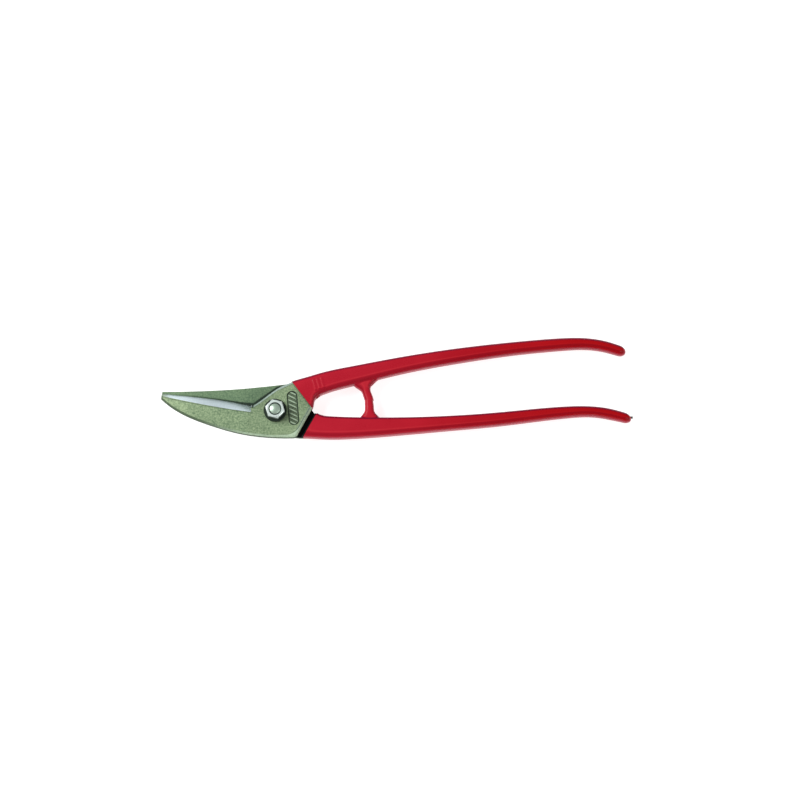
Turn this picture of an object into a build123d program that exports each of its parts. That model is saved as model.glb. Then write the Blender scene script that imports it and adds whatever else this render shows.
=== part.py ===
from build123d import *
import os

# Tinner's snips with a single pivot, lying flat and closed. All sizes are in millimetres.
# The origin is on the pivot axis, at the flat outer face of the bolt head.
# +X runs to the handle ends, +Z along the pivot axis to the nut.

# Stack along the pivot axis
head_thickness = 3.0
plate_thickness = 5.0
face_gap = 0.1
washer_thickness = 1.5
nut_thickness = 5.0
rear_outer = head_thickness
joint_plane = rear_outer + plate_thickness
front_outer = joint_plane + plate_thickness
rear_inner = joint_plane - face_gap / 2
front_inner = joint_plane + face_gap / 2
shoulder_z = front_outer + face_gap
nut_base = shoulder_z + washer_thickness
nut_top = nut_base + nut_thickness

# Pivot fasteners
head_diameter = 13.0
head_chamfer = 0.5
neck_side = 8.6
neck_height = 4.0
fit_clearance = 0.05
journal_diameter = 8.0
thread_diameter = 6.0
thread_dome = 0.35
washer_diameter = 13.4
washer_hole = 6.4
washer_chamfer = 0.3
nut_across_flats = 10.0
nut_turn = 46.4
nut_corner_reach = 6.0
nut_corner_drop = 0.9
nut_face_diameter = 9.3
nut_countersink = 7.6
countersink_depth = 0.8

# Blades
tip_thinning = 2.0
blade_root = -16.0
blade_length = 51.0
rim_chamfer = 1.0
corner_radius = 3.0
bevel_clearance = 0.1
reach = 80.0
cutter_margin = 1.0
nearly_flat = 0.9

# Necks: each is a straight edge square to a direction, at a distance from the pivot axis
upper_neck_angle = 37.1
upper_coat_start = 18.1
upper_wall = 22.5
lower_neck_angle = -29.5
lower_coat_start = 21.9
lower_wall_foot = 20.4
lower_wall_slope = 11.0

# Handles, with their dip coat
coat = 0.6
handle_thickness = 2 * plate_thickness + 2 * coat
strut_thickness = 8.2
bar_rounding = 3.2
slim_rounding = 0.42
rounding_inset = 0.8
nib_radius = 0.75
nib_start = (203.0, -3.3)
nib_end = 208.3

# Maker's cartouche, filled with plain ribs
cartouche_center = (10.3, 1.5)
cartouche_length = 20.1
cartouche_width = 6.0
cartouche_turn = 95.0
cartouche_depth = 0.5
rib_count = 6
rib_pitch = 2.6
rib_length = 3.9
rib_width = 0.9
rib_turn = 60.0


def front_plate_outline():
    # lower blade, pivot plate and the root of the upper handle
    corner = (12.2, -15.6)
    with BuildSketch() as outline:
        with BuildLine():
            Spline((-66.7, 7.3), (-56.0, -0.6), (-38.2, -8.1), (-20.7, -13.1), (-3.2, -15.4), corner)
            Line(corner, (21.5, 1.4))
            ThreePointArc((21.5, 1.4), (22.3, 7.0), (25.6, 10.1))
            Line((25.6, 10.1), (22.0, 19.6))
            Spline((22.0, 19.6), (9.6, 16.9), (1.0, 12.9), (-7.9, 6.3), (-12.9, 3.0))
            Spline((-12.9, 3.0), (-35.3, 7.3), (-60.5, 10.2), (-66.3, 10.8))
            Line((-66.3, 10.8), (-66.7, 7.3))
        make_face()
        fillet(outline.vertices().sort_by_distance(corner)[0], corner_radius)
    return outline.sketch


def rear_plate_outline():
    # upper blade, pivot plate and the root of the lower handle
    corner = (9.7, 16.8)
    with BuildSketch() as outline:
        with BuildLine():
            Spline((-66.1, 11.9), (-44.0, 12.3), (-20.7, 13.6), (-5.0, 15.1), corner)
            Line(corner, (20.9, 1.9))
            ThreePointArc((20.9, 1.9), (23.6, -1.6), (28.0, -3.1))
            Polyline((28.0, -3.1), (28.0, -13.4), (17.3, -13.4), (16.3, -15.1))
            Spline((16.3, -15.1), (10.5, -14.6), (4.0, -12.6), (-7.5, -5.6), (-13.6, -0.9))
            Spline((-13.6, -0.9), (-35.3, 3.2), (-60.5, 7.6), (-66.6, 8.8))
            Line((-66.6, 8.8), (-66.1, 11.9))
        make_face()
        fillet(outline.vertices().sort_by_distance(corner)[0], corner_radius)
    return outline.sketch


def bar_through(stations, inset):
    # a rounded bar lofted through stations, each given by its two edge points and its thickness
    with BuildPart() as bar:
        for back, belly, thickness in stations:
            across = Vector(*back) - Vector(*belly)
            middle = (Vector(*back) + Vector(*belly)) / 2 + Vector(0, 0, joint_plane)
            width = across.length - 2 * inset
            rounding = min(bar_rounding, across.length * slim_rounding) - inset * rounding_inset
            with BuildSketch(Plane(middle, x_dir=across, z_dir=across.cross(Vector(0, 0, 1)))):
                RectangleRounded(width, thickness - 2 * inset, rounding)
        loft(ruled=True)
    return bar.part


def neck_block(angle, distance, base, height, draft=0):
    # everything nearer the pivot axis than one straight edge
    with BuildPart() as block:
        with BuildSketch(Plane.XY.offset(base)):
            Rectangle(2 * distance, 2 * reach, rotation=angle)
        extrude(amount=height, taper=draft)
    return block.part


def blade_wedge(outer, away):
    # what is ground off a blade's outer face, more towards the tip
    tip = outer - away * tip_thinning * (reach + blade_root) / blade_length
    with BuildPart() as wedge:
        with BuildSketch(Plane.XZ):
            with BuildLine():
                Polyline((blade_root, outer), (-reach, tip), (-reach, outer + away),
                         (blade_root, outer + away), close=True)
            make_face()
        extrude(amount=reach / 2, both=True)
    return wedge.part


def bevel_cutter(edge, edge_z, land, land_z, beyond):
    # the ground bevel between a cutting edge and a line on the blade's outer face
    with BuildPart() as cutter:
        for points, z in ((edge, edge_z), (land, land_z)):
            with BuildSketch(Plane.XY.offset(z)):
                with BuildLine():
                    Spline(*points)
                    Polyline(points[-1], (points[-1][0], beyond), (points[0][0], beyond), points[0])
                make_face()
        loft(ruled=True)
    return cutter.part


def outer_rims(part, outer, away):
    # edges of a plate's outer faces, without the line where the blade starts to thin
    faces = part.faces().filter_by(lambda face: face.normal_at().Z * away > nearly_flat)
    rims = faces.edges().filter_by(Axis.Y, reverse=True)
    return rims.filter_by(lambda edge: abs(edge.center().Z - outer) < plate_thickness / 2)


# Stations of the coated handles and struts: (back point, belly point, thickness)
upper_handle = (
    ((7.0, 16.0), (18.0, -0.6), handle_thickness),
    ((10.4, 18.0), (21.6, 1.6), handle_thickness),
    ((17.0, 20.0), (22.9, 6.5), handle_thickness),
    ((25.0, 22.4), (28.0, 10.5), handle_thickness),
    ((43.5, 26.6), (46.0, 15.7), handle_thickness),
    ((69.5, 31.6), (72.6, 22.3), handle_thickness),
    ((106.0, 37.4), (107.6, 29.0), handle_thickness),
    ((141.0, 41.4), (142.2, 34.0), handle_thickness),
    ((165.4, 43.4), (166.0, 36.3), handle_thickness),
    ((182.0, 43.5), (181.5, 36.9), handle_thickness),
    ((194.0, 41.5), (192.2, 35.4), 10.4),
    ((202.4, 38.9), (200.3, 33.1), 9.4),
    ((204.7, 37.3), (203.5, 34.5), 6.0))
lower_handle = (
    ((19.4, 2.6), (13.2, -15.2), handle_thickness),
    ((23.5, -0.6), (17.2, -15.4), handle_thickness),
    ((31.8, -2.9), (29.0, -16.0), handle_thickness),
    ((45.0, -3.4), (44.0, -15.8), handle_thickness),
    ((72.6, -3.5), (71.5, -13.8), handle_thickness),
    ((107.6, -2.2), (106.8, -10.6), handle_thickness),
    ((131.0, -0.4), (130.2, -8.4), handle_thickness),
    ((154.3, 1.9), (153.6, -5.5), handle_thickness),
    ((171.0, 3.1), (170.6, -3.6), handle_thickness),
    ((183.0, 3.2), (183.2, -3.0), handle_thickness),
    ((195.0, 1.8), (193.8, -4.4), 10.4),
    ((205.0, -1.1), (203.2, -6.3), 9.4),
    ((207.4, -2.7), (206.6, -5.5), 6.0))
upper_strut = (
    ((57.3, 7.2), (52.1, 6.3), strut_thickness),
    ((56.0, 10.9), (51.0, 9.7), strut_thickness),
    ((55.9, 15.0), (49.4, 12.5), strut_thickness),
    ((61.0, 20.0), (45.5, 15.6), strut_thickness),
    ((61.0, 23.0), (46.0, 19.5), strut_thickness))
lower_strut = (
    ((56.9, 6.9), (52.1, 6.0), strut_thickness),
    ((57.4, 3.0), (52.2, 2.4), strut_thickness),
    ((58.1, -0.6), (51.5, -0.8), strut_thickness),
    ((61.0, -4.0), (49.0, -4.2), strut_thickness),
    ((60.5, -7.5), (49.5, -7.6), strut_thickness))

# Core of the upper handle: full thickness beyond its neck wall, half thickness before it.
# Each core stops one station short, so that the coat closes over the handle's end.
with BuildPart() as upper_core:
    add(bar_through(upper_handle[:-1], coat))
    add(bar_through(upper_strut, coat))
    add(neck_block(upper_neck_angle, upper_wall, 0, front_inner), mode=Mode.SUBTRACT)
    add(neck_block(upper_neck_angle, upper_coat_start, front_inner, plate_thickness), mode=Mode.SUBTRACT)

# Core of the lower handle, with a sloped neck wall on the front side
with BuildPart() as lower_core:
    add(bar_through(lower_handle[:-1], coat))
    add(bar_through(lower_strut, coat))
    add(neck_block(lower_neck_angle, lower_coat_start, 0, rear_inner), mode=Mode.SUBTRACT)
    add(neck_block(lower_neck_angle, lower_wall_foot, rear_inner, plate_thickness + cutter_margin,
                   draft=-lower_wall_slope), mode=Mode.SUBTRACT)

# Front forging: lower blade, front plate and the core of the upper handle
with BuildPart() as front_half:
    with BuildSketch(Plane.XY.offset(front_inner)):
        add(front_plate_outline())
    extrude(amount=front_outer - front_inner)
    add(blade_wedge(front_outer, 1), mode=Mode.SUBTRACT)
    chamfer(outer_rims(front_half, front_outer, 1), rim_chamfer)
    add(bevel_cutter(
        edge=((-67.5, 10.9), (-60.5, 10.2), (-35.3, 7.3), (-13.2, 3.1)), edge_z=front_inner,
        land=((-67.5, 8.0), (-55.0, 4.9), (-35.3, 1.5), (-14.2, -0.9)), land_z=front_outer + bevel_clearance,
        beyond=20.0), mode=Mode.SUBTRACT)
    add(upper_core.part)
    with BuildSketch(Plane.XY.offset(front_outer)):
        with Locations(cartouche_center):
            SlotOverall(cartouche_length, cartouche_width, rotation=cartouche_turn)
    extrude(amount=-cartouche_depth, mode=Mode.SUBTRACT)
    with BuildSketch(Plane.XY.offset(front_outer - cartouche_depth)):
        with Locations(Location(cartouche_center, cartouche_turn)):
            with GridLocations(rib_pitch, 1, rib_count, 1):
                SlotOverall(rib_length, rib_width, rotation=rib_turn)
    extrude(amount=cartouche_depth - face_gap)
    with Locations((0, 0, front_outer)):
        Hole(journal_diameter / 2 + fit_clearance)

# Rear forging: upper blade, rear plate and the core of the lower handle
with BuildPart() as rear_half:
    with BuildSketch(Plane.XY.offset(rear_outer)):
        add(rear_plate_outline())
    extrude(amount=rear_inner - rear_outer)
    add(blade_wedge(rear_outer, -1), mode=Mode.SUBTRACT)
    chamfer(outer_rims(rear_half, rear_outer, -1), rim_chamfer)
    add(bevel_cutter(
        edge=((-67.5, 8.9), (-60.5, 7.6), (-35.3, 3.2), (-13.6, -0.9)), edge_z=rear_inner,
        land=((-67.5, 11.3), (-58.7, 11.0), (-35.3, 7.9), (-14.3, 2.6)), land_z=rear_outer - bevel_clearance,
        beyond=-20.0), mode=Mode.SUBTRACT)
    add(lower_core.part)
    with BuildSketch(Plane.XY):
        Rectangle(neck_side + 2 * fit_clearance, neck_side + 2 * fit_clearance)
    extrude(amount=front_outer, mode=Mode.SUBTRACT)
    with BuildSketch(Plane.YZ.offset(nib_start[0])):
        with Locations((nib_start[1], joint_plane)):
            Circle(nib_radius)
    extrude(amount=nib_end - nib_start[0])

# Dip coats: the rounded handles less the forgings inside them
with BuildPart() as upper_grip:
    add(bar_through(upper_handle, 0))
    add(bar_through(upper_strut, 0))
    add(neck_block(upper_neck_angle, upper_wall, 0, front_inner), mode=Mode.SUBTRACT)
    add(neck_block(upper_neck_angle, upper_coat_start, 0, 2 * front_outer), mode=Mode.SUBTRACT)
    add(front_half.part, mode=Mode.SUBTRACT)

with BuildPart() as lower_grip:
    add(bar_through(lower_handle, 0))
    add(bar_through(lower_strut, 0))
    add(neck_block(lower_neck_angle, lower_coat_start, 0, 2 * front_outer), mode=Mode.SUBTRACT)
    add(rear_half.part, mode=Mode.SUBTRACT)

# Shoulder bolt: low head, square neck keyed in the rear forging, journal and threaded end
with BuildPart() as pivot_bolt:
    with BuildSketch(Plane.XZ):
        with BuildLine():
            Polyline((0, 0), (head_diameter / 2 - head_chamfer, 0), (head_diameter / 2, head_chamfer),
                     (head_diameter / 2, head_thickness), (journal_diameter / 2, head_thickness),
                     (journal_diameter / 2, shoulder_z), (thread_diameter / 2, shoulder_z),
                     (thread_diameter / 2, nut_top - thread_dome))
            TangentArc((0, nut_top + thread_dome), (thread_diameter / 2, nut_top - thread_dome), tangent=(1, 0))
            Line((0, nut_top + thread_dome), (0, 0))
        make_face()
    revolve(axis=Axis.Z)
    with BuildSketch(Plane.XY.offset(head_thickness)):
        Rectangle(neck_side, neck_side)
    extrude(amount=neck_height)

with BuildPart() as pivot_washer:
    with BuildSketch(Plane.XY.offset(shoulder_z)):
        Circle(washer_diameter / 2)
        Circle(washer_hole / 2, mode=Mode.SUBTRACT)
    extrude(amount=washer_thickness)
    chamfer(pivot_washer.faces().sort_by(Axis.Z)[-1].edges().sort_by(SortBy.LENGTH)[-1], washer_chamfer)

# Hexagon nut with both faces chamfered round, countersunk over the bolt end
with BuildPart() as pivot_nut:
    with BuildSketch(Plane.XY.offset(nut_base)):
        RegularPolygon(nut_across_flats / 2, 6, major_radius=False, rotation=nut_turn)
    extrude(amount=nut_thickness)
    with BuildSketch(Plane.XZ):
        with BuildLine():
            Polyline((0, nut_base), (nut_face_diameter / 2, nut_base),
                     (nut_corner_reach, nut_base + nut_corner_drop),
                     (nut_corner_reach, nut_top - nut_corner_drop),
                     (nut_face_diameter / 2, nut_top), (0, nut_top), close=True)
        make_face()
    revolve(axis=Axis.Z, mode=Mode.INTERSECT)
    with BuildSketch(Plane.XZ):
        with BuildLine():
            Polyline((0, 0), (thread_diameter / 2, 0), (thread_diameter / 2, nut_top - countersink_depth),
                     (nut_countersink / 2, nut_top), (nut_countersink / 2, nut_top + cutter_margin),
                     (0, nut_top + cutter_margin), close=True)
        make_face()
    revolve(axis=Axis.Z, mode=Mode.SUBTRACT)

os.makedirs("parts", exist_ok=True)
front_half.part.label = "front_half"
export_step(front_half.part, "parts/front_half.step")
rear_half.part.label = "rear_half"
export_step(rear_half.part, "parts/rear_half.step")
upper_grip.part.label = "upper_grip"
export_step(upper_grip.part, "parts/upper_grip.step")
lower_grip.part.label = "lower_grip"
export_step(lower_grip.part, "parts/lower_grip.step")
pivot_bolt.part.label = "pivot_bolt"
export_step(pivot_bolt.part, "parts/pivot_bolt.step")
pivot_washer.part.label = "pivot_washer"
export_step(pivot_washer.part, "parts/pivot_washer.step")
pivot_nut.part.label = "pivot_nut"
export_step(pivot_nut.part, "parts/pivot_nut.step")
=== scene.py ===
# Tinner's snips: forged halves, dip-coated handles and a bolted pivot, on a pale bench top.
import bpy
import math
import numpy as np
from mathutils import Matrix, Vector


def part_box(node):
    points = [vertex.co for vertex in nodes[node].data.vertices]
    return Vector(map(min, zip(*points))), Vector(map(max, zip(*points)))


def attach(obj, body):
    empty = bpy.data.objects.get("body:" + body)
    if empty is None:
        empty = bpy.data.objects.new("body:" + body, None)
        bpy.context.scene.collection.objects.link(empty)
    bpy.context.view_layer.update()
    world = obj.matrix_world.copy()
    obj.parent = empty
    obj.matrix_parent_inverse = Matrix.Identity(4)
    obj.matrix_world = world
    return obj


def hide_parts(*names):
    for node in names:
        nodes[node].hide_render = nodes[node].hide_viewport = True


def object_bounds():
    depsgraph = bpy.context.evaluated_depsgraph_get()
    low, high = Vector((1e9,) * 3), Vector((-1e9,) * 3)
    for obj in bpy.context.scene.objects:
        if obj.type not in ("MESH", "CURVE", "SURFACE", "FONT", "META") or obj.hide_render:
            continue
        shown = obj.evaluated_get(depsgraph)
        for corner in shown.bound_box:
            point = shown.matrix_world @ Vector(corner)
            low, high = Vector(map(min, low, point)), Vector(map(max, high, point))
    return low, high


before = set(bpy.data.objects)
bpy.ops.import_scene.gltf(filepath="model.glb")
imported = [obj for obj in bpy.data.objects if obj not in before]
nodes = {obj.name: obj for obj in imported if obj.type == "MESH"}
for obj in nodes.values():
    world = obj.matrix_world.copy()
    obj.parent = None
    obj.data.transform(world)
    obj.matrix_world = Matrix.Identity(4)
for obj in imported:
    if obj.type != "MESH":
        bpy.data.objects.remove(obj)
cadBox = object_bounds()
mm = 0.001
gripLow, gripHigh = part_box("upper_grip")
jointPlane = (gripLow.z + gripHigh.z) / 2  # the handles' middle height, where the plates meet
print("stage 1: frame loaded, joint plane at", round(jointPlane / mm, 2), "mm")


def tint(red, green, blue):
    # a colour given in screen values from 0 to 255, as the linear colour that shaders take
    share = np.array((red, green, blue)) / 255
    return tuple(np.where(share < 0.04045, share / 12.92, ((share + 0.055) / 1.055) ** 2.4)) + (1.0,)


def naturalSpline(knots, values, at):
    # cubic through every value, with no bend at its two ends and an even bend everywhere between
    step = np.diff(knots)
    count = len(knots)
    system = np.eye(count)
    right = np.zeros((count, values.shape[1]))
    inner = np.arange(1, count - 1)
    system[inner, inner - 1] = step[:-1]
    system[inner, inner] = 2 * (step[:-1] + step[1:])
    system[inner, inner + 1] = step[1:]
    slope = np.diff(values, axis=0) / step[:, None]
    right[inner] = 6 * (slope[1:] - slope[:-1])
    bend = np.linalg.solve(system, right)
    piece = np.clip(np.searchsorted(knots, at) - 1, 0, count - 2)
    width = step[piece][:, None]
    before = (at - knots[piece])[:, None]
    after = (knots[piece + 1] - at)[:, None]
    return (bend[piece] * after ** 3 + bend[piece + 1] * before ** 3) / (6 * width) \
        + (values[piece] / width - bend[piece] * width / 6) * after \
        + (values[piece + 1] / width - bend[piece + 1] * width / 6) * before


barGrid = {"around": 64, "tipRings": 13, "tipClose": 0.02}  # points round a section, rings in a round end


def barSurface(stations, tipLength, rings):
    # A bar carried along its stations: each gives two edge points, a thickness and a squareness.
    # Section at angle a: across by |cos a|^(2/n), up by |sin a|^(2/n), a rounded oblong whose
    # squareness n runs from 2 (an ellipse) upwards. A round tip shrinks the section by cos as it
    # advances by sin, which is a quarter circle.
    back = np.array([s[0] for s in stations]) * mm
    belly = np.array([s[1] for s in stations]) * mm
    sizes = np.array([(s[2] * mm, s[3]) for s in stations])
    middle = (back + belly) / 2
    knots = np.concatenate(([0], np.cumsum(np.linalg.norm(np.diff(middle, axis=0), axis=1))))
    at = np.linspace(0, knots[-1], rings)
    edges = naturalSpline(knots, np.hstack((back, belly)), at)
    half = (edges[:, :2] - edges[:, 2:]) / 2
    centre = (edges[:, :2] + edges[:, 2:]) / 2
    thick = np.interp(at, knots, sizes[:, 0]) / 2
    square = np.interp(at, knots, sizes[:, 1])
    if tipLength:
        swing = np.linspace(0, math.pi / 2, barGrid["tipRings"] + 1)[1:]
        heading = np.array((half[-1, 1], -half[-1, 0])) / np.linalg.norm(half[-1])
        shrink = np.maximum(np.cos(swing), barGrid["tipClose"])
        centre = np.vstack((centre, centre[-1] + tipLength * mm * np.sin(swing)[:, None] * heading))
        half = np.vstack((half, half[-1] * shrink[:, None]))
        thick = np.concatenate((thick, thick[-1] * shrink))
        square = np.concatenate((square, np.full(len(swing), square[-1])))
    around = barGrid["around"]
    angle = np.linspace(0, 2 * math.pi, around, endpoint=False)
    across = np.sign(np.cos(angle)) * np.abs(np.cos(angle)) ** (2 / square[:, None])
    up = np.sign(np.sin(angle)) * np.abs(np.sin(angle)) ** (2 / square[:, None])
    points = np.empty((len(centre), around, 3))
    points[..., :2] = centre[:, None] + half[:, None] * across[..., None]
    points[..., 2] = jointPlane + thick[:, None] * up
    ring = np.arange(len(centre) - 1)[:, None] * around
    turn = np.arange(around)[None]
    nextTurn = (turn + 1) % around
    quads = np.stack((ring + turn, ring + nextTurn, ring + around + nextTurn, ring + around + turn), -1)
    caps = np.stack((turn[0, ::-1], turn[0] + (len(centre) - 1) * around))
    return points.reshape(-1, 3), [quads.reshape(-1, 4), caps]


def joined(first, second):
    # two surfaces as one set of points and one list of face arrays
    return np.vstack((first[0], second[0])), first[1] + [faces + len(first[0]) for faces in second[1]]


def newPiece(name, points, faceArrays):
    # a mesh object at the origin, with its faces pointing out
    mesh = bpy.data.meshes.new(name)
    mesh.from_pydata(points.tolist(), [], [face for faces in faceArrays for face in faces.tolist()])
    mesh.validate()
    piece = bpy.data.objects.new(name, mesh)
    bpy.context.scene.collection.objects.link(piece)
    return piece


def settle(piece, sharpAbove):
    # applies every modifier, and keeps only real corners sharp
    evaluated = piece.evaluated_get(bpy.context.evaluated_depsgraph_get())
    mesh = bpy.data.meshes.new_from_object(evaluated)
    piece.modifiers.clear()
    old = piece.data
    piece.data = mesh
    bpy.data.meshes.remove(old)
    mesh.name = piece.name
    mesh.polygons.foreach_set("use_smooth", np.ones(len(mesh.polygons), bool))
    mesh.set_sharp_from_angle(angle=math.radians(sharpAbove))


def boxBlock(centre, turn, sizes, low, high):
    # an upright box, its centre and sizes in millimetres, turned about Z
    angle = math.radians(turn)
    axes = np.array(((math.cos(angle), math.sin(angle)), (-math.sin(angle), math.cos(angle))))
    reach = np.array(((1, -1), (1, 1), (-1, 1), (-1, -1))) * np.array(sizes) / 2
    corners = np.array(centre) + reach @ axes
    points = np.vstack([np.column_stack((corners, np.full(4, z))) for z in (low, high)]) * mm
    faces = ((3, 2, 1, 0), (4, 5, 6, 7), (0, 1, 5, 4), (1, 2, 6, 5), (2, 3, 7, 6), (3, 0, 4, 7))
    return points, [np.array(faces)]


# Each grip, in millimetres. stations: back point, belly point, thickness and squareness. strut: the
# same for the stop strut. cuts: how far past the pivot axis the coat starts, along neckTurn, and the
# heights between which that holds. side: which side of the struts' meeting line the grip lies on.
upperGrip = {
    "stations": (
        ((7.0, 16.0), (18.0, -0.6), 11.2, 4.4),
        ((10.4, 18.0), (21.6, 1.6), 11.2, 4.4),
        ((17.0, 20.0), (22.9, 6.5), 11.2, 4.4),
        ((25.0, 22.4), (28.0, 10.5), 11.2, 4.3),
        ((43.5, 26.6), (46.0, 15.7), 11.2, 4.0),
        ((69.5, 31.6), (72.6, 22.3), 11.2, 3.8),
        ((106.0, 37.4), (107.6, 29.0), 11.2, 3.4),
        ((141.0, 41.4), (142.2, 34.0), 11.2, 3.0),
        ((165.4, 43.4), (166.0, 36.3), 11.2, 2.8),
        ((182.0, 43.5), (181.5, 36.9), 11.1, 2.6),
        ((194.0, 41.5), (192.2, 35.4), 10.5, 2.5),
        ((201.2, 39.2), (199.0, 33.5), 9.8, 2.5)),
    "tipLength": 4.5,
    "strut": (
        ((57.6, 5.9), (52.5, 5.0), 8.2, 3.0),
        ((57.3, 7.2), (52.1, 6.3), 8.2, 3.0),
        ((56.0, 10.9), (51.0, 9.7), 8.2, 3.0),
        ((55.7, 15.0), (49.5, 12.5), 8.4, 3.0),
        ((60.6, 19.8), (45.6, 15.6), 8.8, 3.0),
        ((60.8, 23.0), (46.0, 19.5), 8.8, 3.0)),
    "neckTurn": 37.1,
    "cuts": ((18.0, -5, 30), (22.55, -5, 8.05)),
    "side": 1}
lowerGrip = {
    "stations": (
        ((19.4, 2.6), (13.2, -15.2), 11.2, 4.4),
        ((23.5, -0.6), (17.2, -15.4), 11.2, 4.4),
        ((31.8, -2.9), (29.0, -16.0), 11.2, 4.4),
        ((45.0, -3.4), (44.0, -15.8), 11.2, 4.3),
        ((72.6, -3.5), (71.5, -13.8), 11.2, 4.0),
        ((107.6, -2.2), (106.8, -10.6), 11.2, 3.6),
        ((131.0, -0.4), (130.2, -8.4), 11.2, 3.3),
        ((154.3, 1.9), (153.6, -5.5), 11.2, 3.0),
        ((171.0, 3.1), (170.6, -3.6), 11.2, 2.8),
        ((183.0, 3.2), (183.2, -3.0), 11.1, 2.6),
        ((195.0, 1.8), (193.8, -4.4), 10.5, 2.5),
        ((203.9, -0.6), (201.9, -6.1), 9.8, 2.5)),
    "tipLength": 4.6,
    "strut": (
        ((56.8, 8.2), (52.0, 7.3), 8.2, 3.0),
        ((56.9, 6.9), (52.0, 6.0), 8.2, 3.0),
        ((57.4, 3.0), (52.1, 2.4), 8.2, 3.0),
        ((58.1, -0.6), (51.4, -0.8), 8.4, 3.0),
        ((61.0, -4.0), (49.0, -4.2), 8.8, 3.0),
        ((60.5, -7.5), (49.5, -7.6), 8.8, 3.0)),
    "neckTurn": -29.5,
    "cuts": ((21.8, -5, 30),),
    "side": -1}
coatLook = {"handleRings": 420, "strutRings": 60, "voxel": 0.40, "easing": 0.5, "smoothing": 6,
            "sharpAbove": 35, "lipHeight": 0.12, "lipWidth": 1.1, "cutWidth": 120}
junction = {"centre": (54.6, 6.6), "turn": 9.8, "gap": 0.05, "block": (16, 8), "low": -5, "high": 30}
rootMark = {"centre": (25.2, 15.9), "turn": 15, "bars": 3, "pitch": 2.4, "barLength": 5.4,
            "halfWidth": 0.6, "height": 0.17, "crispness": 8}


def junctionBlock(side):
    # holds the strut's end beyond the line where the two struts meet
    turn = math.radians(junction["turn"])
    away = np.array((math.sin(turn), -math.cos(turn))) * side
    middle = junction["centre"] + away * (junction["block"][1] / 2 + junction["gap"])
    return boxBlock(middle, junction["turn"], junction["block"], junction["low"], junction["high"])


def markRise(place, normal):
    # Three bars on the top face. Each is a plateau with soft sides: 1 / (1 + exp(c * (d - 1))), d being
    # the distance from the bar's middle line over its half width and c its crispness.
    tilt = math.radians(rootMark["turn"])
    unturn = np.array(((math.cos(tilt), -math.sin(tilt)), (math.sin(tilt), math.cos(tilt))))
    local = (place[:, :2] / mm - rootMark["centre"]) @ unturn
    last = (rootMark["bars"] - 1) / 2
    lane = np.clip(np.round(local[:, 0] / rootMark["pitch"]), -last, last)
    sideways = np.abs(local[:, 0] - lane * rootMark["pitch"]) / rootMark["halfWidth"]
    beyond = np.maximum(np.abs(local[:, 1]) - rootMark["barLength"] / 2, 0) / rootMark["halfWidth"]
    plateau = 1 / (1 + np.exp(rootMark["crispness"] * (np.hypot(sideways, beyond) - 1)))
    return rootMark["height"] * plateau * (normal[:, 2] > 0.5)


def raiseSkin(mesh, look, marked):
    # Moves points along their normals by lip * exp(-(d / width)^2), d being the distance from the neck
    # edge, and by the height of the root mark's bars.
    count = len(mesh.vertices)
    place, normal = np.empty(count * 3), np.empty(count * 3)
    mesh.vertices.foreach_get("co", place)
    mesh.vertices.foreach_get("normal", normal)
    place, normal = place.reshape(-1, 3), normal.reshape(-1, 3)
    turn = math.radians(look["neckTurn"])
    past = place[:, 0] * math.cos(turn) + place[:, 1] * math.sin(turn) - look["cuts"][0][0] * mm
    rise = coatLook["lipHeight"] * np.exp(-(past / (coatLook["lipWidth"] * mm)) ** 2)
    if marked:
        rise += markRise(place, normal)
    place += normal * (rise * mm)[:, None]
    mesh.vertices.foreach_set("co", place.ravel())
    mesh.update()


def dipCoat(name, look, body, node, marked):
    # handle and strut melted into one skin, thickened into a lip along the neck edge, then cut there
    handle = barSurface(look["stations"], look["tipLength"], coatLook["handleRings"])
    grip = newPiece(name, *joined(handle, barSurface(look["strut"], 0, coatLook["strutRings"])))
    skin = grip.modifiers.new("skin", "REMESH")
    skin.mode = "VOXEL"
    skin.voxel_size = coatLook["voxel"] * mm
    ease = grip.modifiers.new("ease", "SMOOTH")
    ease.factor = coatLook["easing"]
    ease.iterations = coatLook["smoothing"]
    settle(grip, coatLook["sharpAbove"])
    raiseSkin(grip.data, look, marked)
    blocks = [boxBlock((0, 0), look["neckTurn"], (2 * start, coatLook["cutWidth"]), low, high)
              for start, low, high in look["cuts"]]
    for block in blocks + [junctionBlock(look["side"])]:
        cutter = newPiece("cutter", *block)
        cut = grip.modifiers.new("cut", "BOOLEAN")
        cut.operation = "DIFFERENCE"
        cut.solver = "EXACT"
        cut.object = cutter
        settle(grip, coatLook["sharpAbove"])
        bpy.data.objects.remove(cutter)
    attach(grip, body)
    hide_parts(node)
    return grip


upperPiece = dipCoat("upperGrip", upperGrip, "front_body", "upper_grip", True)
lowerPiece = dipCoat("lowerGrip", lowerGrip, "rear_body", "lower_grip", False)
print("stage 2: grips made,", len(upperPiece.data.polygons), "and", len(lowerPiece.data.polygons), "faces")


def feed(tree, socket, value):
    # a link from another node, or a fixed value
    if isinstance(value, bpy.types.NodeSocket):
        tree.links.new(value, socket)
    else:
        socket.default_value = value


def addNode(tree, kind, inputs=None, **settings):
    made = tree.nodes.new(kind)
    for key, value in settings.items():
        setattr(made, key, value)
    for key, value in (inputs or {}).items():
        feed(tree, made.inputs[key], value)
    return made


def maths(tree, operation, first, second=0.0, third=0.0, clamp=False):
    return addNode(tree, "ShaderNodeMath", {0: first, 1: second, 2: third}, operation=operation,
                   use_clamp=clamp).outputs[0]


def ramp(tree, value, low, high, lowTo=0.0, highTo=1.0):
    # a smooth step from lowTo to highTo as the value goes from low to high
    return addNode(tree, "ShaderNodeMapRange", {0: value, 1: low, 2: high, 3: lowTo, 4: highTo},
                   interpolation_type="SMOOTHSTEP", clamp=True).outputs[0]


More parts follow.
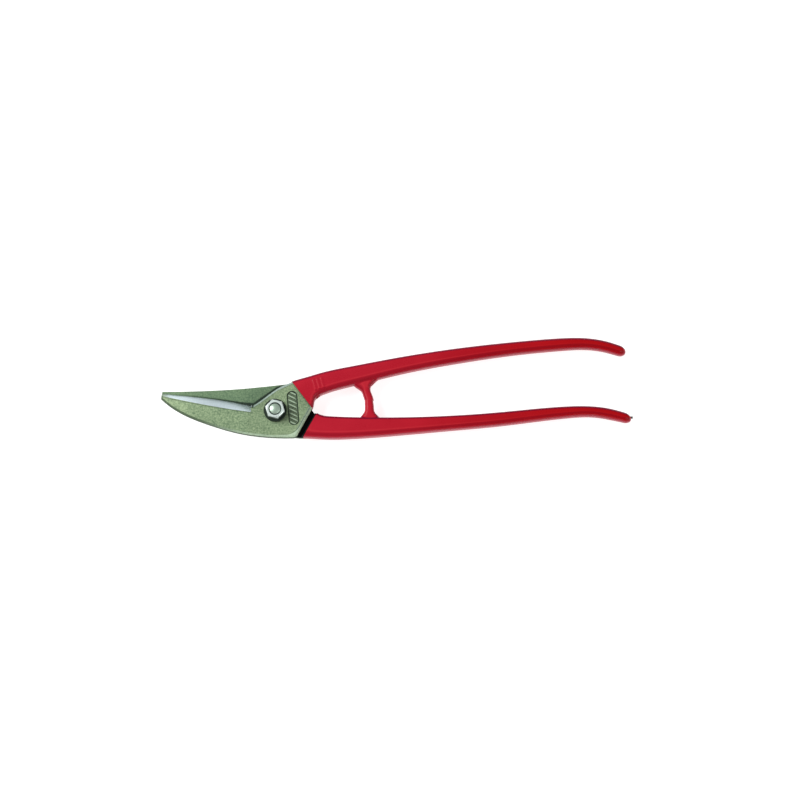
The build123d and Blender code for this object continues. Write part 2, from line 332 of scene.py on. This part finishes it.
def band(tree, value, low, high, soft):
    # one between low and high, falling to nothing over a soft width on both sides
    rising = ramp(tree, value, low - soft, low + soft)
    return allOf(tree, rising, ramp(tree, value, high - soft, high + soft, 1.0, 0.0))


def allOf(tree, *masks):
    # the product of several masks
    result = masks[0]
    for mask in masks[1:]:
        result = maths(tree, "MULTIPLY", result, mask)
    return result


def length(tree, first, second):
    # the square root of two squares added
    squares = [maths(tree, "MULTIPLY", part, part) for part in (first, second)]
    return maths(tree, "SQRT", maths(tree, "ADD", *squares))


def along(tree, x, y, turn):
    # how far (x, y) lies in the direction of an angle: x cos + y sin
    angle = math.radians(turn)
    return maths(tree, "MULTIPLY_ADD", y, math.sin(angle), maths(tree, "MULTIPLY", x, math.cos(angle)))


def mixed(tree, share, first, second):
    return addNode(tree, "ShaderNodeMix", {0: share, 6: first, 7: second}, data_type="RGBA",
                   clamp_factor=True).outputs[2]


def paint(tree, under, over, *masks):
    # one colour laid over another where every mask is set
    return mixed(tree, allOf(tree, *masks), under, over)


def newGroup(name, inputs, outputs):
    group = bpy.data.node_groups.new(name, "ShaderNodeTree")
    for label, value in inputs.items():
        socket = group.interface.new_socket(name=label, in_out="INPUT", socket_type="NodeSocketFloat")
        socket.default_value = value
    for label in outputs:
        group.interface.new_socket(name=label, in_out="OUTPUT", socket_type="NodeSocketFloat")
    return group, group.nodes.new("NodeGroupInput").outputs, group.nodes.new("NodeGroupOutput").inputs


def noiseAt(tree, place, scale, detail, roughness):
    return addNode(tree, "ShaderNodeTexNoise", {"Vector": place, "Scale": scale, "Detail": detail,
                                                "Roughness": roughness}).outputs[0]


def makeFineGrain():
    # Speckle and mottle: fine noise at Scale and a broad noise at Scale / 28, added and centred on 0.5.
    group, given, out = newGroup("fineGrain", {"Scale": 1800.0, "Speckle": 0.5, "Mottle": 0.5},
                                 ("Tone", "Height"))
    place = addNode(group, "ShaderNodeTexCoord").outputs["Object"]
    fine = noiseAt(group, place, given["Scale"], 3.0, 0.7)
    broad = noiseAt(group, place, maths(group, "DIVIDE", given["Scale"], 28.0), 4.0, 0.55)
    speckle = maths(group, "MULTIPLY", maths(group, "SUBTRACT", fine, 0.5), given["Speckle"])
    mottle = maths(group, "MULTIPLY", maths(group, "SUBTRACT", broad, 0.5), given["Mottle"])
    feed(group, out["Tone"], maths(group, "ADD", maths(group, "ADD", speckle, mottle), 0.5, clamp=True))
    feed(group, out["Height"], fine)
    return group


def makeGroundMarks():
    # Grinding marks: noise that is squeezed along one axis and drawn out along the others.
    group, given, out = newGroup("groundMarks", {"Turn": 0.0, "Fineness": 4000.0, "Stretch": 0.04}, ("Marks",))
    place = addNode(group, "ShaderNodeTexCoord").outputs["Object"]
    turned = addNode(group, "ShaderNodeVectorRotate", {"Vector": place, "Angle": given["Turn"]},
                     rotation_type="Z_AXIS").outputs[0]
    squeeze = addNode(group, "ShaderNodeCombineXYZ", {"X": 1.0, "Y": given["Stretch"], "Z": given["Stretch"]})
    drawn = addNode(group, "ShaderNodeVectorMath", {0: turned, 1: squeeze.outputs[0]}, operation="MULTIPLY")
    feed(group, out["Marks"], noiseAt(group, drawn.outputs[0], given["Fineness"], 4.0, 0.65))
    return group


def makeFacing():
    # How far the surface points along X, Y and Z in the piece's own axes, and its place in millimetres.
    labels = ("Normal X", "Normal Y", "Normal Z", "X", "Y", "Z")
    group, _, out = newGroup("facing", {}, labels)
    source = addNode(group, "ShaderNodeTexCoord").outputs
    inMm = addNode(group, "ShaderNodeVectorMath", {0: source["Object"], "Scale": 1 / mm}, operation="SCALE")
    parts = [part for vector in (source["Normal"], inMm.outputs[0])
             for part in addNode(group, "ShaderNodeSeparateXYZ", {0: vector}).outputs]
    for label, part in zip(labels, parts):
        feed(group, out[label], part)
    return group


groups = {"grain": makeFineGrain(), "marks": makeGroundMarks(), "facing": makeFacing()}


def useGroup(tree, key, **inputs):
    made = tree.nodes.new("ShaderNodeGroup")
    made.node_tree = groups[key]
    for label, value in inputs.items():
        made.inputs[label].default_value = value
    return made.outputs


def newMaterial(name):
    material = bpy.data.materials.new(name)
    material.use_nodes = True
    return material, material.node_tree, material.node_tree.nodes["Principled BSDF"].inputs


def wear(piece, material):
    # every material slot of the piece takes this finish
    if not piece.material_slots:
        piece.data.materials.append(material)
    for slot in piece.material_slots:
        slot.material = material


def addBump(tree, height, strength, depth):
    return addNode(tree, "ShaderNodeBump",
                   {"Strength": strength, "Distance": depth, "Height": height}).outputs[0]


# The forgings. Colours and gloss first, then the shares of the normal and the places, in millimetres,
# at which each marking starts and stops: two numbers are a smooth step, three a band and its softness,
# and four a step with the values it goes from and to.
# Several of these colours are painted light: the rim tones paint lit edges besides wear, the dark rim, wall
# and line tones paint shade, and the bluish-grey wear tone paints a lit band beside the rear neck.
headSteel = {
    "olive": tint(176, 197, 155), "oliveDark": tint(94, 119, 90), "rim": tint(204, 228, 198),
    "rimShade": tint(70, 88, 68), "rimCool": tint(158, 176, 174), "wall": tint(30, 42, 32),
    "ground": tint(226, 240, 246), "groundDark": tint(190, 206, 212), "line": tint(30, 44, 38),
    "wear": tint(128, 146, 142), "black": tint(6, 12, 14), "dipped": tint(160, 22, 38),
    "nib": tint(150, 148, 142),
    "roughness": 0.45, "metallic": 0.35, "ior": 1.3,
    "flat": (0.93, 0.98), "bladeEnd": (-13.4, -13.1), "bevel": (0.35, 0.90, 0.03), "bevelCut": (0.25, 0.35),
    "bevelTip": (-66.5, -60.5), "rimBand": (0.55, 0.86, 0.05), "wallSteep": (0.25, 0.45),
    "rimTip": (-48.0, -14.0), "rimBack": (0.1, 0.3), "nibStart": (202.0, 203.0)}
rearSteel = {**headSteel, "olive": tint(138, 165, 127), "oliveDark": tint(81, 108, 85)}

# Lines drawn across the blades as (X, Y): the foot of the ground bevel, the front forging's upper edge,
# and, above that edge, how wide its shade falls on the rear forging.
bladeLines = {
    "land": ((-66.0, 8.9), (-62.1, 8.1), (-52.8, 5.9), (-44.0, 4.2), (-35.3, 2.5), (-27.7, 1.5),
             (-20.7, 0.4), (-14.2, -0.8)),
    "edge": ((-66.3, 10.8), (-60.5, 10.2), (-47.0, 9.0), (-35.3, 7.3), (-22.0, 4.9), (-12.9, 3.1),
             (-7.9, 6.4), (1.0, 12.9), (9.6, 16.9)),
    "shade": ((-66.0, 0.2), (-50.0, 0.6), (-35.0, 1.0), (-20.0, 1.5), (-13.0, 2.3), (-8.0, 2.7),
              (0.0, 2.4), (9.0, 1.4))}
lineSpan = {"start": -70, "length": 90, "base": -5, "height": 30}  # the patch of the plane the lines lie in


def heightAlong(tree, across, points):
    # the height in millimetres of a line through the points, at a place across
    start, span = lineSpan["start"], lineSpan["length"]
    base, height = lineSpan["base"], lineSpan["height"]
    share = maths(tree, "MULTIPLY_ADD", across, 1 / span, -start / span)
    curve = addNode(tree, "ShaderNodeFloatCurve", {"Value": share})
    line = curve.mapping.curves[0].points
    for number, (x, y) in enumerate(points):
        spot = line[number] if number < 2 else line.new(0.5, 0.5)
        spot.location = ((x - start) / span, (y - base) / height)
        spot.handle_type = "VECTOR"
    curve.mapping.update()
    return maths(tree, "MULTIPLY_ADD", curve.outputs[0], height, base)


cartouche = {"centre": (10.3, 1.5), "turn": 95.0, "halfLength": 7.05, "radius": 3.0, "pitch": 2.25,
             "slant": 120, "grooveShade": (-0.5, 0.1, 0.15), "ribEnd": (2.0, 2.4), "ribHighlight": (0.3, 0.5),
             "ribShade": (0.5, 0.85, 0.12)}


def paintCartouche(tree, face, flat, colour, look):
    # Distance to the slot's middle segment gives the painted shade of the recess and of the groove round it;
    # distance to the nearest of the evenly spaced ribs gives their painted highlights on top and the painted
    # shade between them.
    pitch = cartouche["pitch"]
    dx = maths(tree, "SUBTRACT", face["X"], cartouche["centre"][0])
    dy = maths(tree, "SUBTRACT", face["Y"], cartouche["centre"][1])
    lengthwise = along(tree, dx, dy, cartouche["turn"])
    sideways = along(tree, dx, dy, cartouche["turn"] + 90)
    beyond = maths(tree, "SUBTRACT", maths(tree, "ABSOLUTE", lengthwise), cartouche["halfLength"])
    reach = length(tree, maths(tree, "MAXIMUM", beyond, 0.0), sideways)
    past = maths(tree, "SUBTRACT", reach, cartouche["radius"])
    inside = allOf(tree, ramp(tree, past, -0.2, 0.0, 1.0, 0.0), flat)
    across = along(tree, sideways, lengthwise, cartouche["slant"])
    step = maths(tree, "PINGPONG", maths(tree, "ADD", across, pitch * 10), pitch / 2)
    fromRib = maths(tree, "SUBTRACT", pitch / 2, step)
    rib = allOf(tree, ramp(tree, maths(tree, "ABSOLUTE", sideways), *cartouche["ribEnd"], 1.0, 0.0), inside)
    # the recess floor darker, its groove and the gaps between the ribs in painted shade, the rib tops in
    # painted highlight
    colour = paint(tree, colour, look["line"], inside, 0.5)
    colour = paint(tree, colour, look["line"], band(tree, fromRib, *cartouche["ribShade"]), rib, 0.6)
    colour = paint(tree, colour, look["rim"], ramp(tree, fromRib, *cartouche["ribHighlight"], 1.0, 0.0), rib, 0.55)
    return paint(tree, colour, look["line"], band(tree, past, *cartouche["grooveShade"]), flat, 0.95)


# Markings on the front forging: its top face, painted shade at the foot of the bevel, a painted highlight band
# beside the rear neck, the shoulder's painted highlight and shade line, the edge where the coat starts, the
# plate's rounded corner in painted highlight and shade, and painted shade at the bevel's end.
frontMarks = {
    "top": (10.0, 10.5), "foot": (-0.9, -0.1, 0.25),
    "litBandTurn": -28.7, "litBandFrom": (15.6, 17.2), "litBandTop": (12.0, 12.5), "litBandBelow": (1.0, 3.0),
    "shoulder": (-1.15, 0.6, 0.2), "shoulderShadeLine": (-1.7, -1.3, 0.15), "shoulderFrom": (-12.6, -11.6),
    "shoulderTo": (13.0, 16.0), "neckLine": (17.5, 18.1, 0.1), "coatUnder": (17.6, 17.9),
    "coatBelow": (8.0, 8.2), "coatFrom": (18.2, 18.5),
    "cornerRadius": 5.0, "cornerSide": 17.4, "cornerBase": -14.7, "cornerFrom": (0.0, 4.0),
    "cornerShadeLine": (-0.9, -0.5, 0.15), "cornerHighlight": (-0.5, -0.2),
    "bevelEndShade": (-13.9, -12.6, 0.2), "bevelEndShadeAbove": (1.4, 1.9)}
# On the rear forging: the shade under the front blade, the black neck, and where the coat starts.
rearMarks = {
    "shade": (-0.5, 0.3), "shadeTop": (7.6, 7.9), "shadeTip": (-64.0, -20.0, 0.4, 1.0),
    "shadeNeck": (0.0, 9.0, 1.0, 0.3), "neckFrom": (17.4, 17.7), "neckTop": (7.7, 7.9),
    "neckTo": (40.0, 41.0), "coatFrom": (22.0, 22.3)}


def fromLine(tree, face, line):
    # how far a place lies above one of the blade lines
    return maths(tree, "SUBTRACT", face["Y"], heightAlong(tree, face["X"], bladeLines[line]))


def paintCorner(tree, face, shown, colour, look):
    # Outside a circle that touches the plate's side and base the corner takes a painted highlight, with a
    # painted shade line inside it.
    radius = frontMarks["cornerRadius"]
    side = along(tree, face["X"], face["Y"], lowerGrip["neckTurn"])
    fromSide = maths(tree, "SUBTRACT", radius, maths(tree, "SUBTRACT", frontMarks["cornerSide"], side))
    fromBase = maths(tree, "SUBTRACT", radius, maths(tree, "SUBTRACT", face["Y"], frontMarks["cornerBase"]))
    reach = length(tree, maths(tree, "MAXIMUM", fromSide, 0.0), maths(tree, "MAXIMUM", fromBase, 0.0))
    past = maths(tree, "SUBTRACT", reach, radius)
    shown = allOf(tree, shown, ramp(tree, face["X"], *frontMarks["cornerFrom"]))
    colour = paint(tree, colour, look["line"], band(tree, past, *frontMarks["cornerShadeLine"]), shown, 0.4)
    return paint(tree, colour, look["rim"], ramp(tree, past, *frontMarks["cornerHighlight"]), shown, 0.75)


def paintFront(tree, face, flat, blade, colour, look):
    top = allOf(tree, flat, ramp(tree, face["Z"], *frontMarks["top"]))
    # painted shade along the foot of the ground bevel
    foot = band(tree, fromLine(tree, face, "land"), *frontMarks["foot"])
    colour = paint(tree, colour, look["line"], foot, blade, top, 0.35)
    # painted highlight: a bluish-grey band on the top face beside the rear neck, where a lit chamfer would be
    bare = ramp(tree, along(tree, face["X"], face["Y"], frontMarks["litBandTurn"]), *frontMarks["litBandFrom"])
    colour = paint(tree, colour, look["wear"], bare, flat, ramp(tree, face["Z"], *frontMarks["litBandTop"]),
                   ramp(tree, face["Y"], *frontMarks["litBandBelow"], 1.0, 0.0), 0.7)
    aboveEdge = fromLine(tree, face, "edge")
    shoulder = allOf(tree, ramp(tree, face["X"], *frontMarks["shoulderFrom"]),
                     ramp(tree, face["X"], *frontMarks["shoulderTo"], 1.0, 0.0), top)
    # painted highlight along the shoulder's rim
    rim = band(tree, aboveEdge, *frontMarks["shoulder"])
    colour = paint(tree, colour, look["rimCool"], rim, shoulder, 0.75)
    # painted shade line just below the shoulder's rim
    line = band(tree, aboveEdge, *frontMarks["shoulderShadeLine"])
    colour = paint(tree, colour, look["line"], line, shoulder, 0.4)
    colour = paintCartouche(tree, face, flat, colour, look)
    past = along(tree, face["X"], face["Y"], upperGrip["neckTurn"])
    colour = paint(tree, colour, look["line"], band(tree, past, *frontMarks["neckLine"]), top, 0.5)
    colour = paintCorner(tree, face, top, colour, look)
    covered = maths(tree, "MAXIMUM", ramp(tree, face["Z"], *frontMarks["coatBelow"], 1.0, 0.0),
                    ramp(tree, past, *frontMarks["coatFrom"]))
    coated = allOf(tree, ramp(tree, past, *frontMarks["coatUnder"]), covered)
    return paint(tree, colour, look["dipped"], coated), coated


def paintRear(tree, face, colour, look):
    shadeEdge = maths(tree, "SUBTRACT", fromLine(tree, face, "edge"),
                      heightAlong(tree, face["X"], bladeLines["shade"]))
    colour = paint(tree, colour, look["line"], ramp(tree, shadeEdge, *rearMarks["shade"], 1.0, 0.0),
                   ramp(tree, face["Z"], *rearMarks["shadeTop"]),
                   ramp(tree, face["X"], *rearMarks["shadeTip"]),
                   ramp(tree, face["X"], *rearMarks["shadeNeck"]), 0.9)
    past = along(tree, face["X"], face["Y"], lowerGrip["neckTurn"])
    neck = allOf(tree, ramp(tree, past, *rearMarks["neckFrom"]), ramp(tree, face["Z"], *rearMarks["neckTop"]),
                 ramp(tree, face["X"], *rearMarks["neckTo"], 1.0, 0.0))
    colour = paint(tree, colour, look["black"], neck)
    return paint(tree, colour, look["dipped"], ramp(tree, past, *rearMarks["coatFrom"])), neck


def makeHeadSteel(name, look, front):
    # lacquered forging: ground bevel, rims lighter as wear and by painted highlight, painted shade on side
    # walls, and its own side's markings
    material, tree, shader = newMaterial(name)
    face = useGroup(tree, "facing")
    grain = useGroup(tree, "grain", Scale=1000.0, Speckle=2.2, Mottle=1.3)
    marks = useGroup(tree, "marks", Turn=0.35, Fineness=3600.0, Stretch=0.06)
    outward, cutting = face["Normal Z"], face["Normal Y"]
    if not front:
        outward, cutting = (maths(tree, "MULTIPLY", part, -1.0) for part in (outward, cutting))
    steep = maths(tree, "ABSOLUTE", outward)
    flat = ramp(tree, steep, *look["flat"])
    blade = ramp(tree, face["X"], *look["bladeEnd"], 1.0, 0.0)
    bevel = allOf(tree, band(tree, outward, *look["bevel"]), ramp(tree, cutting, *look["bevelCut"]), blade,
                  ramp(tree, face["X"], *look["bevelTip"], 0.15, 1.0))
    notBevel = maths(tree, "SUBTRACT", 1.0, bevel)
    rim = allOf(tree, band(tree, outward, *look["rimBand"]), notBevel)
    wall = allOf(tree, ramp(tree, steep, *look["wallSteep"], 1.0, 0.0), notBevel)
    # rims take a painted highlight where they face -Y, a cooler tone where they face +Y and painted shade
    # towards the blade tip, broken up like wear
    rimTone = mixed(tree, ramp(tree, face["Normal Y"], *look["rimBack"]), look["rim"], look["rimCool"])
    rimTone = mixed(tree, ramp(tree, face["X"], *look["rimTip"]), look["rimShade"], rimTone)
    colour = mixed(tree, grain["Tone"], look["oliveDark"], look["olive"])
    colour = paint(tree, colour, rimTone, rim, maths(tree, "MULTIPLY_ADD", grain["Tone"], 0.5, 0.45))
    # painted shade on the steep side walls, which are also rougher and not metallic
    colour = paint(tree, colour, look["wall"], wall, 0.85)
    if front:
        colour, covered = paintFront(tree, face, flat, blade, colour, look)
    else:
        colour, covered = paintRear(tree, face, colour, look)
    nib = ramp(tree, face["X"], *look["nibStart"])
    bare = mixed(tree, nib, mixed(tree, marks["Marks"], look["groundDark"], look["ground"]), look["nib"])
    shiny = maths(tree, "MAXIMUM", bevel, nib)
    colour = mixed(tree, shiny, colour, bare)
    if front:
        # painted shade at the end of the ground bevel, by the shoulder
        colour = paint(tree, colour, look["line"], band(tree, face["X"], *frontMarks["bevelEndShade"]),
                       ramp(tree, face["Y"], *frontMarks["bevelEndShadeAbove"]), 0.9)
    rough = maths(tree, "MULTIPLY_ADD", grain["Height"], 0.2, look["roughness"] - 0.1)
    rough = maths(tree, "MULTIPLY_ADD", shiny, -0.12, rough)
    rough = maths(tree, "MULTIPLY_ADD", wall, 0.35, rough)
    metal = maths(tree, "MULTIPLY_ADD", shiny, 0.9 - look["metallic"], look["metallic"])
    painted = maths(tree, "MAXIMUM", covered, wall)
    height = maths(tree, "ADD", grain["Height"], allOf(tree, marks["Marks"], bevel))
    feed(tree, shader["Base Color"], colour)
    feed(tree, shader["Roughness"], rough)
    feed(tree, shader["Metallic"], allOf(tree, metal, maths(tree, "SUBTRACT", 1.0, painted)))
    feed(tree, shader["Normal"], addBump(tree, height, 0.5, 0.00006))
    shader["IOR"].default_value = look["ior"]
    return material


# The coat's colours at the neck and, darker, at the ends; then the shares of the normal that take the painted
# highlight streak on the lower side, painted shade under it, a painted reflection on the sides, painted shade
# on the upper edge.
redCoat = {
    "bright": tint(197, 35, 54), "deep": tint(170, 23, 41), "endBright": tint(188, 13, 22),
    "endDeep": tint(163, 8, 15), "highlightStreak": tint(214, 62, 68), "under": tint(128, 6, 26),
    "side": tint(184, 22, 66), "upperEdgeShade": tint(112, 6, 44),
    "fadeAlong": (20.0, 190.0), "streakTilt": (-0.10, -0.05, 0.03), "streakFade": (90.0, 150.0),
    "underShadeTilt": (-0.60, -0.16, 0.07), "sideReflectionSteep": (0.35, 0.75), "upperTilt": (0.30, 0.60),
    "upperSteep": (0.0, 0.2),
    "roughness": 0.28, "ior": 1.22, "sheen": 0.06, "sheenRoughness": 0.35, "sheenTint": tint(220, 110, 190)}


def makeRedCoat(name, look):
    # dipped coat: broad tone shifts, painted highlight, shade and reflection by facing, a slight orange-peel
    # skin, small changes in gloss
    material, tree, shader = newMaterial(name)
    face = useGroup(tree, "facing")
    grain = useGroup(tree, "grain", Scale=1100.0, Speckle=0.5, Mottle=1.0)
    peel = useGroup(tree, "grain", Scale=420.0, Speckle=1.0, Mottle=0.0)
    fade = ramp(tree, face["X"], *look["fadeAlong"])
    colour = mixed(tree, grain["Tone"], mixed(tree, fade, look["deep"], look["endDeep"]),
                   mixed(tree, fade, look["bright"], look["endBright"]))
    tilt = face["Normal Y"]
    # painted highlight streak on the lower side, painted shade under it, a painted pink reflection on the
    # steep sides and painted shade on the upper edge
    colour = paint(tree, colour, look["highlightStreak"], band(tree, tilt, *look["streakTilt"]),
                   ramp(tree, face["X"], *look["streakFade"], 1.0, 0.3), 0.30)
    colour = paint(tree, colour, look["under"], band(tree, tilt, *look["underShadeTilt"]), 0.45)
    steep = maths(tree, "ABSOLUTE", face["Normal Z"])
    colour = paint(tree, colour, look["side"], ramp(tree, steep, *look["sideReflectionSteep"], 1.0, 0.0), 0.4)
    colour = paint(tree, colour, look["upperEdgeShade"], ramp(tree, tilt, *look["upperTilt"]),
                   ramp(tree, face["Normal Z"], *look["upperSteep"]), 0.8)
    feed(tree, shader["Base Color"], colour)
    feed(tree, shader["Roughness"], maths(tree, "MULTIPLY_ADD", grain["Tone"], 0.12, look["roughness"] - 0.06))
    feed(tree, shader["Normal"], addBump(tree, peel["Height"], 0.25, 0.00008))
    shader["IOR"].default_value = look["ior"]
    shader["Sheen Weight"].default_value = look["sheen"]
    shader["Sheen Roughness"].default_value = look["sheenRoughness"]
    shader["Sheen Tint"].default_value = look["sheenTint"]
    return material


platedNut = {"light": tint(244, 254, 250), "dark": tint(216, 234, 226), "boreShade": tint(34, 50, 44),
             "boreRadius": 3.8, "roughness": 0.36, "metallic": 0.45}
darkWasher = {"light": tint(48, 64, 50), "dark": tint(22, 34, 26), "roughness": 0.42, "metallic": 0.4}
boltSteel = {"light": tint(214, 236, 218), "dark": tint(146, 170, 150), "roughness": 0.34, "metallic": 0.5}


def makeFastenerSteel(name, look):
    # turned or rolled steel with fine speckle in its colour and gloss; a nut's bore and sides take painted
    # shade
    material, tree, shader = newMaterial(name)
    face = useGroup(tree, "facing")
    grain = useGroup(tree, "grain", Scale=2400.0, Speckle=0.9, Mottle=0.8)
    colour = mixed(tree, grain["Tone"], look["dark"], look["light"])
    if "boreRadius" in look:
        radius = length(tree, face["X"], face["Y"])
        boreShade = ramp(tree, radius, look["boreRadius"] - 0.1, look["boreRadius"] + 0.05, 1.0, 0.0)
        side = ramp(tree, maths(tree, "ABSOLUTE", face["Normal Z"]), 0.2, 0.4, 1.0, 0.0)
        colour = paint(tree, paint(tree, colour, look["boreShade"], boreShade, 0.9), look["boreShade"], side, 0.6)
    rough = maths(tree, "MULTIPLY_ADD", grain["Height"], 0.1, look["roughness"] - 0.05)
    feed(tree, shader["Base Color"], colour)
    feed(tree, shader["Roughness"], rough)
    feed(tree, shader["Normal"], addBump(tree, grain["Height"], 0.3, 0.00004))
    shader["Metallic"].default_value = look["metallic"]
    return material


coat = makeRedCoat("redDipCoat", redCoat)
wear(upperPiece, coat)
wear(lowerPiece, coat)
wear(nodes["front_half"], makeHeadSteel("frontForging", headSteel, True))
wear(nodes["rear_half"], makeHeadSteel("rearForging", rearSteel, False))
wear(nodes["pivot_nut"], makeFastenerSteel("platedNut", platedNut))
wear(nodes["pivot_washer"], makeFastenerSteel("darkWasher", darkWasher))
wear(nodes["pivot_bolt"], makeFastenerSteel("boltSteel", boltSteel))
print("stage 3: finishes made")


# aim in millimetres, floorDrop in millimetres below the part, the rest of the places in metres
studio = {
    "aim": (72.6, 7.1), "elevation": 80.0, "lens": 200.0, "sensor": 36.0, "frameWidth": 466.7, "farthest": 100,
    "room": 0.2, "floorTone": 0.5, "floorGlow": 0.84, "floorRoughness": 0.9, "floorDrop": 0.05,
    "floorHalf": 12.0,
    "lampAim": (0.07, 0.01, 0),
    "keyBox": {"place": (-1.3, 0.5, 1.5), "size": (1.2, 1.2), "power": 42},
    "fillBox": {"place": (1.5, -0.8, 1.2), "size": (1.2, 0.9), "power": 12}}

level = cadBox[0][2] - studio["floorDrop"] * mm
floorCorners = np.array(((-1, -1, 0), (1, -1, 0), (1, 1, 0), (-1, 1, 0))) * studio["floorHalf"] + (0, 0, level)
floor = newPiece("benchTop", floorCorners, [np.array(((0, 1, 2, 3),))])
floorFinish, _, floorShader = newMaterial("paleBench")
floorShader["Base Color"].default_value = (*[studio["floorTone"]] * 3, 1)
floorShader["Roughness"].default_value = studio["floorRoughness"]
floorShader["Emission Color"].default_value = (1, 1, 1, 1)
floorShader["Emission Strength"].default_value = studio["floorGlow"]
wear(floor, floorFinish)


def addSoftbox(name):
    look = studio[name]
    light = bpy.data.lights.new(name, "AREA")
    light.shape = "RECTANGLE"
    light.size, light.size_y = look["size"]
    light.energy = look["power"]
    lamp = bpy.data.objects.new(name, light)
    lamp.location = look["place"]
    lamp.rotation_euler = (Vector(studio["lampAim"]) - lamp.location).to_track_quat("-Z", "Y").to_euler()
    bpy.context.scene.collection.objects.link(lamp)


addSoftbox("keyBox")
addSoftbox("fillBox")

world = bpy.data.worlds.new("studioRoom")
world.use_nodes = True
bpy.context.scene.world = world
world.node_tree.nodes["Background"].inputs["Color"].default_value = (1, 1, 1, 1)
world.node_tree.nodes["Background"].inputs["Strength"].default_value = studio["room"]

camera = bpy.data.cameras.new("camera")
camera.lens, camera.sensor_width = studio["lens"], studio["sensor"]
camera.clip_end = studio["farthest"]
eye = bpy.data.objects.new("camera", camera)
bpy.context.scene.collection.objects.link(eye)
raised = math.radians(studio["elevation"])
distance = studio["frameWidth"] * mm * studio["lens"] / studio["sensor"]
aim = Vector((studio["aim"][0] * mm, studio["aim"][1] * mm, jointPlane))
eye.location = aim + Vector((0, -math.cos(raised), math.sin(raised))) * distance
eye.rotation_euler = (math.pi / 2 - raised, 0, 0)
bpy.context.scene.camera = eye
bpy.context.scene.view_settings.view_transform = "Standard"
print("stage 4: floor, lights and camera placed")
